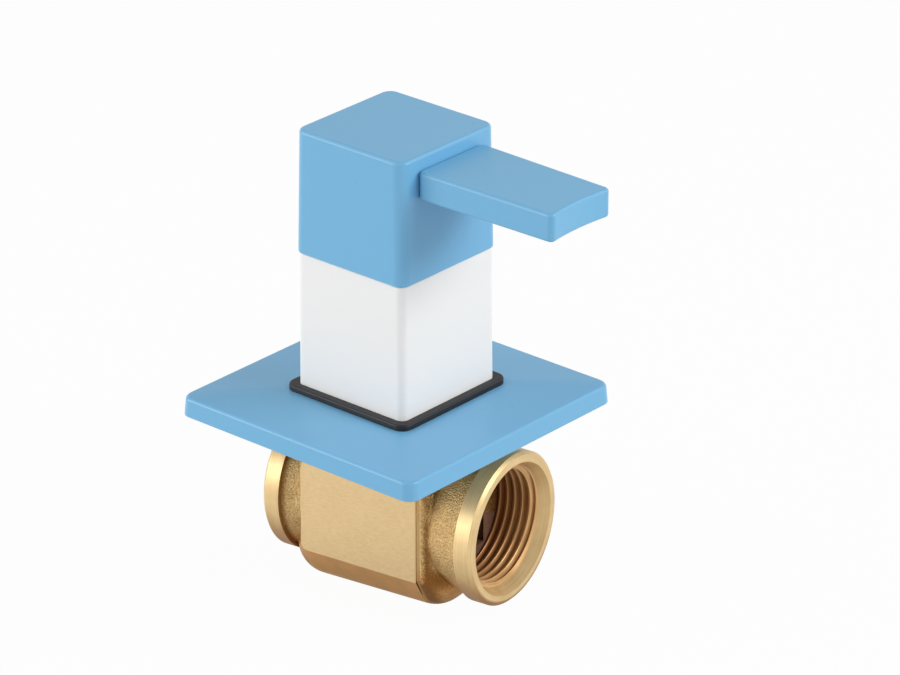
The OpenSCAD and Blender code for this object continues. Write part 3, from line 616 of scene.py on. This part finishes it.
# Seat seal and headwork seal
# Two flat rings of black rubber. One lies on the seat under the headwork's tube, the other under
# its hexagon.
def simple(name, color, roughness, metallic=0.0, mottle=0.1, scale=900, coat=0.0):
    """A plain material whose tint and gloss vary a little with a noise of its own."""
    made = bpy.data.materials.new(name)
    made.use_nodes = True
    tree = made.node_tree
    start = Value(tree)
    place = start.node("TexCoord", {}, {}, "Object")
    grain = start.node("TexNoise", {}, {"Vector": place, "Scale": scale, "Detail": 2})
    full = srgb(*color)
    low = [part * (1 - mottle) for part in full[:3]] + [1]
    tint = grain.tint(low, full)
    shader = tree.nodes["Principled BSDF"]
    shader.inputs["Metallic"].default_value = metallic
    shader.inputs["Coat Weight"].default_value = coat
    tree.links.new(tint.socket, shader.inputs["Base Color"])
    tree.links.new((roughness + (grain - 0.5) * 0.1).socket, shader.inputs["Roughness"])
    return made


def dress(paint, *names):
    """Gives CAD pieces their material."""
    for name in names:
        nodes[name].data.materials.clear()
        nodes[name].data.materials.append(paint)


black_rubber = simple("black_rubber", (19, 20, 26), 0.46)
dress(black_rubber, "seat_seal", "headwork_seal")


# Headwork
# The headwork body is turned from a brass bar with a hexagon, and screws into the boss. It holds
# the two ceramic discs, the spindle with its rubber rings, the slip washer, stop ring and clip.
machined_brass = simple("machined_brass", (232, 200, 146), 0.26, 1.0, 0.12, 1500)
ceramic = simple("ceramic", (240, 238, 228), 0.2, coat=0.4, mottle=0.03)
white_acetal = simple("white_acetal", (240, 240, 236), 0.4, mottle=0.03)
screw_steel = simple("screw_steel", (196, 198, 202), 0.3, 1.0, 0.1, 2000)
dress(machined_brass, "headwork_body", "spindle")
dress(ceramic, "fixed_disc", "moving_disc")
dress(black_rubber, "spindle_o_rings")
dress(white_acetal, "slip_washer")
dress(screw_steel, "stop_ring", "retaining_clip")


# Stem extension
# A brass tube on the spline of the spindle, tied down by a screw inside it. It carries the turning
# of the handle through the length of the sleeve.
dress(machined_brass, "stem_extension")
dress(screw_steel, "extension_screw")


# Sleeve carrier
# A square block of dark grey nylon that screws onto the headwork. The sleeve slips over it and is
# held by two steel screws in its sides.
grey_nylon = simple("grey_nylon", (60, 62, 66), 0.5)
dress(grey_nylon, "sleeve_carrier")
dress(screw_steel, "sleeve_screws")


# Sleeve
# A square tube of white plastic, moulded with rounded corners and a slight lean for the mould. A
# web across its top holds the acetal bush that guides the stem extension.
def level_edge(piece, edge, height):
    """Whether an edge lies at a height."""
    return all(abs(piece.data.vertices[i].co.z - height) < 0.01 * mm for i in edge.vertices)


def tapered(name, foot_half, top_half, foot, top, corner, rim, sole=0.0):
    """A square block that leans in to its top, with rounded corners and rounded rims."""
    piece = block(name, (-foot_half, -foot_half, foot), (foot_half, foot_half, top))
    pick(piece, "FACE", lambda face: face.normal.z > 0.9)
    shrink = top_half / foot_half
    bpy.ops.transform.resize(value=(shrink, shrink, 1), center_override=(0, 0, top))
    bpy.ops.object.mode_set(mode="OBJECT")
    pick(piece, "EDGE", lambda edge: upright(piece, edge))
    bpy.ops.mesh.bevel(offset=corner, segments=10, affect="EDGES")
    bpy.ops.object.mode_set(mode="OBJECT")
    for height, size in ((top, rim), (foot, sole)):
        if size:
            pick(piece, "EDGE", lambda edge: level_edge(piece, edge, height))
            bpy.ops.mesh.bevel(offset=size, segments=5, affect="EDGES")
            bpy.ops.object.mode_set(mode="OBJECT")
    return piece


def drill(name, place, direction, radius, length, vertices=64):
    """A round cutter that starts at a place and runs along a direction."""
    direction = Vector(direction)
    bpy.ops.mesh.primitive_cylinder_add(vertices=vertices, radius=radius, depth=length,
                                        location=Vector(place) + direction * length / 2)
    tool = bpy.context.object
    tool.name = name
    tool.rotation_euler = direction.to_track_quat("Z", "Y").to_euler()
    return settle(tool)


def present(piece, paint, node, body):
    """Smooths a finished piece, paints it and puts it in the place of its CAD node."""
    hold(piece)
    piece.data.materials.clear()
    piece.data.materials.append(paint)
    bpy.ops.object.shade_smooth_by_angle(angle=radians(30))
    modify(piece, "WEIGHTED_NORMAL", keep_sharp=True, weight=100)
    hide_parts(node)
    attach(piece, body)


white_plastic = simple("white_plastic", (241, 240, 238), 0.42, mottle=0.01)
sleeve_half = 18.4 * mm
sleeve_foot = 0.8 * mm
sleeve_top = 45.25 * mm
sleeve = tapered("sleeve_shell", sleeve_half, 18.1 * mm, sleeve_foot, sleeve_top,
                 2.2 * mm, 0.4 * mm, 0.2 * mm)
bore_half = 16 * mm
web_bottom = 42.65 * mm
carve(sleeve, block("sleeve_bore", (-bore_half, -bore_half, -mm), (bore_half, bore_half, web_bottom),
                    1.2 * mm))
bush_radius = 9.05 * mm
carve(sleeve, drill("bush_hole", (0, 0, 40 * mm), (0, 0, 1), bush_radius, 8 * mm))
screw_height = 4.2 * mm
screw_radius = 2.15 * mm
for side in (-1, 1):
    carve(sleeve, drill("screw_hole", (0, side * 14 * mm, screw_height), (0, side, 0), screw_radius, 6 * mm))
present(sleeve, white_plastic, "sleeve", "valve")
dress(white_acetal, "guide_bush")


# Wall plate
# The escutcheon is a shallow square dish of satin blue plastic, with a lip round its back. Its
# front rises to a flat seat for the rubber ring. It slides along the sleeve to meet the tiles.
blue_plastic = simple("blue_plastic", (114, 179, 219), 0.3, mottle=0.01)
plate_half = 40.1 * mm
plate_edge = 5.3 * mm
plate_top = 6.5 * mm
seat_half = 21.88 * mm
plate_lean = 0.35 * mm
plate = tapered("wall_plate_shell", plate_half, plate_half - plate_lean, 0, plate_edge,
                3.3 * mm, 0, 0.25 * mm)
pick(plate, "FACE", lambda face: face.normal.z > 0.9)
bpy.ops.mesh.extrude_region_move(TRANSFORM_OT_translate={"value": (0, 0, plate_top - plate_edge)})
shrink = seat_half / (plate_half - plate_lean)
bpy.ops.transform.resize(value=(shrink, shrink, 1), center_override=(0, 0, plate_top))
bpy.ops.object.mode_set(mode="OBJECT")
pick(plate, "EDGE", lambda edge: level_edge(plate, edge, plate_edge))
bpy.ops.mesh.bevel(offset=0.9 * mm, segments=5, affect="EDGES")
bpy.ops.object.mode_set(mode="OBJECT")
lip_half = 37.55 * mm
hollow_top = 3.1 * mm
frame_half = 20.88 * mm
hole_half = 18.68 * mm
hollow = block("hollow", (-lip_half, -lip_half, -mm), (lip_half, lip_half, hollow_top), 2.3 * mm)
carve(hollow, block("hub", (-frame_half, -frame_half, -2 * mm), (frame_half, frame_half, 4 * mm), 3.2 * mm))
carve(plate, hollow)
carve(plate, block("hole", (-hole_half, -hole_half, -mm), (hole_half, hole_half, 8 * mm), 2.2 * mm))
present(plate, blue_plastic, "wall_plate", "plate")


# Gasket
# A square ring of black rubber, moulded with rounded edges. It lies on the seat of the wall plate
# and slides along the sleeve with it, and keeps splashes from running down into the wall.
gasket_half = 20.7 * mm
gasket_top = 8.15 * mm
gasket = block("gasket_ring", (-gasket_half, -gasket_half, plate_top), (gasket_half, gasket_half, gasket_top),
               3.2 * mm, 8)
pick(gasket, "EDGE", lambda edge: level_edge(gasket, edge, gasket_top))
bpy.ops.mesh.bevel(offset=0.45 * mm, segments=4, affect="EDGES")
bpy.ops.object.mode_set(mode="OBJECT")
grip_half = 18.5 * mm
carve(gasket, block("gasket_hole", (-grip_half, -grip_half, 0), (grip_half, grip_half, 10 * mm), 2.2 * mm, 8))
present(gasket, black_rubber, "gasket", "plate")


# Handle block
# A tall square cap of the same blue plastic, with a hub and four ribs inside. Its brass insert
# sits on the stem extension, and a grub screw behind a plug in its back locks it.
handle_foot = 45.5 * mm
handle_top = 79.5 * mm
handle = tapered("handle_block_shell", 18.7 * mm, 18.2 * mm, handle_foot, handle_top,
                 3.2 * mm, 1 * mm, 0.3 * mm)
cavity_half = 15.6 * mm
cavity_top = 76.3 * mm
cavity = block("cavity", (-cavity_half, -cavity_half, 45 * mm), (cavity_half, cavity_half, cavity_top),
               1.2 * mm)
hub_foot = 47.5 * mm
hub_radius = 10.5 * mm
carve(cavity, drill("hub", (0, 0, hub_foot), (0, 0, 1), hub_radius, 30 * mm))
rib_half = 0.8 * mm
rib_foot = 51.5 * mm
for turn in (45, 135):
    rib = block("rib", (-30 * mm, -rib_half, rib_foot), (30 * mm, rib_half, 80 * mm))
    rib.rotation_euler.z = radians(turn)
    carve(cavity, settle(rib))
carve(handle, cavity)
insert_radius = 8.55 * mm
carve(handle, drill("insert_hole", (0, 0, 47 * mm), (0, 0, 1), insert_radius, 16.2 * mm))
grub_height = 56 * mm
grub_radius = 2.55 * mm
carve(handle, drill("grub_hole", (0, 0, grub_height), (-1, 0, 0), grub_radius, 20 * mm))
peg_spread = 7.5 * mm
peg_height = 72 * mm
for side in (-1, 1):
    peg_place = 15 * mm, side * peg_spread, peg_height
    carve(handle, drill("peg_hole", peg_place, (1, 0, 0), 3.45 * mm, 6 * mm))
present(handle, blue_plastic, "handle_block", "handle")
dress(machined_brass, "handle_insert")
dress(screw_steel, "grub_screw")
dress(blue_plastic, "screw_plug")


# Lever
# A flat bar of blue plastic that narrows a little towards its tip, with a slightly hollow end.
# Two pegs at its root sit in the block, and two steel screws hold it from inside.
lever_root = 18.39 * mm
lever_tip = 61.65 * mm
lever_half = 12.5 * mm
lever_bottom = 68.1 * mm
lever_top = 75.9 * mm
tip_share = 11.5 / 12.5
lever = block("lever_bar", (lever_root, -lever_half, lever_bottom), (lever_tip, lever_half, lever_top))
pick(lever, "FACE", lambda face: face.normal.x > 0.9)
bpy.ops.transform.resize(value=(1, tip_share, 1), center_override=(lever_tip, 0, peg_height))
bpy.ops.object.mode_set(mode="OBJECT")
pick(lever, "EDGE", lambda edge: upright(lever, edge))
bpy.ops.mesh.bevel(offset=1.6 * mm, segments=7, affect="EDGES")
bpy.ops.object.mode_set(mode="OBJECT")
hollow_radius = 73.92 * mm
tip_middle = 60.9 * mm
carve(lever, drill("tip_hollow", (tip_middle + hollow_radius, 0, 60 * mm), (0, 0, 1),
                   hollow_radius, 25 * mm, 512))
pick(lever, "EDGE", lambda edge: True)
bpy.ops.mesh.remove_doubles(threshold=0.05 * mm)
bpy.ops.object.mode_set(mode="OBJECT")
pick(lever, "EDGE", lambda edge: level_edge(lever, edge, lever_bottom) or level_edge(lever, edge, lever_top))
bpy.ops.mesh.bevel(offset=0.9 * mm, segments=5, affect="EDGES")
bpy.ops.object.mode_set(mode="OBJECT")
for side in (-1, 1):
    carve(lever, drill("peg", (16 * mm, side * peg_spread, peg_height), (1, 0, 0), 3.4 * mm, 4 * mm), "UNION")
    carve(lever, drill("screw_hole", (15 * mm, side * peg_spread, peg_height), (1, 0, 0), 1.8 * mm, 11 * mm))
present(lever, blue_plastic, "lever", "handle")
dress(screw_steel, "lever_screws", "lever_washers")

low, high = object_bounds()
